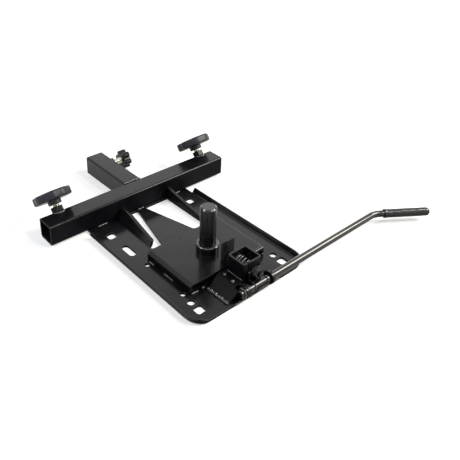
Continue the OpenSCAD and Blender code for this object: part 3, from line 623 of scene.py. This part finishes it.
# A round section carried along a line: each ring stands square to the line, turned by the outward
# direction, with its own radius
def tube(line, radius, outward, around, ripple=None):
    ahead = np.gradient(line, axis=0)
    ahead /= np.linalg.norm(ahead, axis=1, keepdims=True)
    out = outward - np.sum(outward * ahead, 1, keepdims=True) * ahead
    out /= np.linalg.norm(out, axis=1, keepdims=True)
    side = np.cross(ahead, out)
    angle = np.linspace(0, 2 * np.pi, around, endpoint=False)
    wide = radius[:, None] * (1 if ripple is None else ripple(angle))
    return (line[:, None] + wide[..., None] * (np.cos(angle)[None, :, None] * out[:, None]
                                               + np.sin(angle)[None, :, None] * side[:, None]))


coil = surfacePiece("latchCoilSpring", springSurface(spring), "springSteel", "base")
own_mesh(coil)
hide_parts("latch_spring")
print("spring made")

# Latch block: an upright bar with two round corners, whose top is cut on a slope to the rear so
# that the seat's plate rides over it. Rings of its outline stand from its foot to the sloping cut.
block = {"x": (-1.5, 12.5), "y": (-27.5, -20.55), "foot": 14.3, "top": 40.3, "slope": 1.05,
         "corner": 3.0, "small": 0.3, "break": 0.35, "cornerSteps": 8}


def blockSurface(k):
    (left, right), (front, back), c = k["x"], k["y"], k["corner"]
    small = k["small"]
    bend = np.linspace(0, np.pi / 2, k["cornerSteps"])
    rearLeft = np.stack((left + c - c * np.sin(bend), back - c + c * np.cos(bend)), -1)
    frontLeft = np.stack((left + c - c * np.cos(bend), front + c - c * np.sin(bend)), -1)
    rightSide = np.array([(right - small, front), (right, front + small), (right, back - small),
                          (right - small, back)])
    outline = np.concatenate((rearLeft, frontLeft, rightSide))
    middle = np.array(((left + right) / 2, (front + back) / 2))
    half = np.array(((right - left) / 2, (back - front) / 2))
    cut = k["break"]
    rows = [(cut, 0.0, 0), (0.0, cut, 0), (0.0, 1.0, 0), (0.0, -cut, 1), (cut, 0.0, 1)]
    rings = []
    for inset, rise, onTop in rows:
        flat = middle + (outline - middle) * (1 - inset / half)
        top = k["top"] - k["slope"] * (flat[:, 1] - front)
        high = top + rise if onTop else np.full(len(flat), k["foot"] + rise)
        rings.append(np.stack((flat[:, 0], flat[:, 1], high), -1))
    return np.stack(rings)


wedge = surfacePiece("slopedLatchBlock", blockSurface(block), "blockCoat", "latch")
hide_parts("latch_block")
wedge.data.shade_flat()
print("latch block made")

# Dipped grip: a rolled lip where the dip ended, a round end, and a skin that swells and sinks a
# little, as the product of two sines along and round it. The swell fades in past the lip and out
# before the end.
grip = {"from": (198.4, -71.5, 12.0), "heading": (0.829, -0.559, 0.0), "start": 11.7, "end": 67.7,
        "outer": 5.2, "bore": 4.05, "boreEnd": 64.9, "lip": 0.28, "lipLong": 2.0, "neck": 2.9,
        "neckIn": 0.05, "bodyFrom": 3.4, "bodySteps": 40, "domeSteps": 14, "poleGap": 0.09,
        "swell": 0.05, "fade": 4, "fadeFrom": 3, "waveLong": (0.42, 0.19), "around": 64}


def gripSurface(g):
    r, start, end = g["outer"], g["start"], g["end"]
    bend = np.linspace(0, np.pi / 2 - g["poleGap"], g["domeSteps"])
    dome = np.stack((r * np.cos(bend), end - r + r * np.sin(bend)), -1)
    body = np.stack((np.full(g["bodySteps"], r),
                     np.linspace(start + g["bodyFrom"], end - r - 0.6, g["bodySteps"])), -1)
    mouth = eased([(1.0, g["boreEnd"], 0), (g["bore"], g["boreEnd"], 0.2), (g["bore"], start, 0.2),
                   (r + g["lip"], start, 0.6), (r + g["lip"], start + g["lipLong"], 0.8),
                   (r - g["neckIn"], start + g["neck"], 0.3), (r, start + g["neck"] + 0.3, 0)])
    points = turned(np.concatenate((mouth, body, dome)), g["around"])
    high, angle = points[..., 2], np.arctan2(points[..., 1], points[..., 0])
    live = np.clip((high - start - g["fadeFrom"]) / g["fade"], 0, 1)
    live = live * np.clip((end - g["fade"] - high) / g["fade"], 0, 1)
    wide = np.hypot(points[..., 0], points[..., 1])
    outside = wide > g["bore"] + 0.3
    long, slow = g["waveLong"]
    wave = np.sin(long * high + 2 * angle) * np.sin(slow * high + angle + 1.0) - 1
    points[..., :2] *= (1 + outside * live * g["swell"] * wave / np.maximum(wide, 1))[..., None]
    heading = np.array(g["heading"]) / np.linalg.norm(g["heading"])
    up = np.array((0, 0, 1.0))
    turn = np.stack((up, np.cross(heading, up), heading))
    return placed(points, (np.array(g["from"]), turn))


dipped = surfacePiece("dippedGrip", gripSurface(grip), "dippedGrip", "lever")
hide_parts("lever_grip")
print("grip made")

# Weld beads: a tube along the joint whose radius ripples once every ripple length, with the ripples
# bowed across it as a welder's are. Two slow sines make lumps and a third makes the line wander. An
# open bead rounds off at its ends, down to the tip part. Beats are in radians each mm on an open
# bead, and in whole waves round a closed one.
bead = {"step": 0.25, "around": 14, "ripple": 1.15, "ripplePart": 0.055, "lumpPart": 0.16,
        "wander": 0.22, "openBeats": (0.9, 1.7, 0.55), "ringBeats": (3.0, 5.0, 7.0),
        "secondLump": 0.6, "bow": 1.6, "lumpShift": 1.1, "phase": 2.1, "tipPart": 0.12,
        "fewest": 8}


def beadPath(points, step):
    points = np.array(points, float)
    run = np.concatenate(([0], np.cumsum(np.linalg.norm(np.diff(points, axis=0), axis=1))))
    count = max(bead["fewest"], int(run[-1] / step))
    at = np.linspace(0, run[-1], count)
    return np.stack([np.interp(at, run, points[:, k]) for k in range(3)], -1), at


def weldBead(name, points, radius, outward, seed, body="base", closed=False, clear=None):
    b = bead
    line, run = beadPath(points, b["step"])
    rows = np.array(outward, float)
    if rows.ndim == 1:
        out = np.broadcast_to(rows, line.shape)
    else:
        at = np.linspace(0, run[-1], len(rows))
        out = np.stack([np.interp(run, at, rows[:, k]) for k in range(3)], -1)
    size = np.interp(run, np.linspace(0, run[-1], np.size(radius)), np.atleast_1d(radius))
    if closed:
        line, run, out, size = line[:-1], run[:-1], out[:-1], size[:-1]
    phase = b["phase"] * seed
    cycle = 2 * np.pi * run / run[-1] if closed else run
    first, second, third = b["ringBeats"] if closed else b["openBeats"]
    lump = np.sin(first * cycle + phase) + b["secondLump"] * np.sin(second * cycle + 2 * phase)
    wander = b["wander"] * np.sin(third * cycle + 3 * phase)
    line = line + wander[:, None] * out / np.linalg.norm(out, axis=1, keepdims=True)
    ends = np.ones(len(run))
    if not closed:
        near = np.clip(np.minimum(run, run[-1] - run) / np.maximum(size, 0.1), 0, 1)
        ends = np.maximum(np.sqrt(1 - (1 - near) ** 2), b["tipPart"])
    turns = round(run[-1] / b["ripple"])
    wave = 2 * np.pi * turns * run / run[-1] if closed else 2 * np.pi * run / b["ripple"]

    def ripple(angle):
        bowed = np.sin(wave[:, None] + b["bow"] * np.cos(angle)[None, :]
                       + b["lumpShift"] * lump[:, None])
        lumps = b["lumpPart"] * lump[:, None] * (0.6 + 0.4 * np.sin(angle + phase))
        return 1 + b["ripplePart"] * bowed + lumps
    skin = tube(line, size * ends, out, b["around"], ripple)
    if clear is not None:
        skin = clear(skin)
    return surfacePiece(name, skin, "weldCoat", body, joinedAlong=closed)


def ring(middle, radius, a, b, count=72):
    angle = np.linspace(0, 2 * np.pi, count + 1)[:, None]
    spokes = np.cos(angle) * np.array(a, float) + np.sin(angle) * np.array(b, float)
    return np.array(middle, float) + radius * spokes, spokes


# Bead round a clamp nut on the tube's edge: it fills from the nut's face down to the tube, which
# falls away on both sides of the ground flat, so the bead grows there. It stays clear of the screw.
def nutBead(side, place, seed, radius=6.3, tilt=clampTilt, cornerOut=2.5,
            land=tubeEdge["land"], over=0.75, bore=4.5):
    angle = np.linspace(0, 2 * np.pi, 73)
    across = radius * np.sin(angle)
    tubeTop = np.minimum((cornerOut + across * math.sin(tilt)) / math.cos(tilt),
                         (cornerOut - across * math.cos(tilt)) / math.sin(tilt))
    tubeTop = np.minimum(tubeTop, land)
    local = np.stack((radius * np.cos(angle), across, (land + tubeTop) / 2 - land), -1)
    out = np.stack((np.cos(angle), np.sin(angle), 0 * angle), -1)
    size = 0.42 * (land - tubeTop) + over

    def clearOfScrew(skin):
        at = (skin - place[0]) @ place[1].T
        wide = np.hypot(at[..., 0], at[..., 1])
        at[..., :2] *= (np.maximum(wide, bore) / wide)[..., None]
        return placed(at, place)
    weldBead(side + "NutWeld", placed(local, place), size, out @ place[1], seed, closed=True,
             clear=clearOfScrew)


for seed, (side, place) in enumerate(clamps):
    nutBead(side, place, seed + 1)
rearRing, rearOut = ring(sideFrame[0] + np.array((0.25, 0, 0)), 6.9, (0, 1, 0), (0, 0, 1))
weldBead("rearNutWeld", rearRing, 0.85, rearOut, 3, closed=True)

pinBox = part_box("stop_pin")
pinRadius = (pinBox[1][1] - pinBox[0][1]) / 2 / mm
pinRing, pinOut = ring((18.1, -46.0, 26.5), pinRadius + 0.1, (0, 1, 0), (0, 0, 1), 36)
weldBead("stopPinWeld", pinRing, 0.75, pinOut, 5, closed=True)
for side, x, seed in (("left", -2.9, 6), ("right", 13.9, 7)):
    wrapRing, wrapOut = ring((x, -71.5, 12.0), 4.3, (0, 1, 0), (0, 0, 1), 48)
    weldBead(side + "ForkWeld", wrapRing, 0.5, wrapOut, seed, body="lever", closed=True)
endRing, endOut = ring((-17.4, -71.5, 12.0), 4.4, (0, 1, 0), (0, 0, 1), 48)
weldBead("rodEndWeld", endRing, 1.3, endOut, 8, body="lever", closed=True)

# Straight and bent beads: points in mm, radius, and which way the bead faces
beads = {
    "skirtWeld": ([(-32.6, -37.0, 3.4), (-32.8, -52.0, 3.6), (-32.4, -67.5, 3.4)], 2.0, (-1, 0, 1)),
    "bracketRearTack": ([(-13.2, -40.6, 14.3), (-15.4, -44.4, 14.2)], 2.1, (-1, 0, 1)),
    "bracketFrontTack": ([(-14.2, -53.4, 14.3), (-16.4, -57.4, 13.9)], 2.1, (-1, 0, 1)),
    "channelLeftWeld": ([(-52.8, 7.5, 3.3), (-52.8, -8.0, 3.3)], 1.3, (-1, 0, 1)),
    "channelRearLeftWeld": ([(-52.8, 33.5, 3.3), (-52.8, 24.0, 3.3)], 1.1, (-1, 0, 1)),
    "channelRightWeld": ([(52.8, 8.0, 3.3), (52.8, -8.0, 3.3)], 1.3, (1, 0, 1)),
    "channelRearRightWeld": ([(52.8, 33.5, 3.3), (52.8, 24.0, 3.3)], 1.1, (1, 0, 1)),
    "frontLeftTack": ([(-51.6, -33.9, 3.3), (-42.0, -34.3, 3.2)], 1.7, (0, -1, 1)),
    "frontBracketTack": ([(-38.0, -33.2, 3.6), (-33.5, -35.0, 3.8)], 1.8, (0, -1, 1)),
    "frontRightTack": ([(51.6, -33.9, 3.3), (48.5, -34.3, 3.2)], 1.3, (0, -1, 1)),
    "plateLeftWeld": ([(-62.0, 121.3, 3.3), (-48.0, 121.2, 3.3)], 1.3, (0, -1, 1)),
    "plateRightWeld": ([(48.0, 121.2, 3.3), (62.0, 121.3, 3.3)], 1.3, (0, -1, 1)),
    "webWeld": ([(-4.5, 121.3, 3.2), (5.5, 121.2, 3.3)], 1.2, (0, -1, 1)),
    "rearJointTopWeld": ([(-5.0, 146.9, 28.0), (18.4, 146.9, 28.0)], 0.9, (0, 1, 1)),
    "rearJointLeftWeld": ([(-6.0, 146.9, 5.0), (-6.0, 146.9, 26.5)], 1.1, (-1, 1, 0)),
    "rearJointRightWeld": ([(19.4, 146.9, 5.0), (19.4, 146.9, 26.5)], 1.1, (1, 1, 0)),
    "boxLeftWeld": ([(-7.1, -38.5, 14.1), (-7.1, -59.5, 14.1)], 0.6, (-1, 0, 1)),
    "boxRightWeld": ([(18.1, -38.5, 14.1), (18.1, -59.5, 14.1)], 0.6, (1, 0, 1)),
    "leftEarWeld": ([(-27.0, -71.3, 2.2), (-21.0, -71.2, 2.3), (-14.6, -71.2, 2.6)], 1.25,
                    (0, -1, 1)),
    "rightEarWeld": ([(22.8, -71.4, 2.6), (29.0, -71.2, 2.3), (36.0, -71.2, 2.2)], 1.25,
                     (0, -1, 1)),
}
for seed, (name, (points, radius, outward)) in enumerate(beads.items()):
    weldBead(name, points, radius, outward, seed + 10)
print("weld beads made")
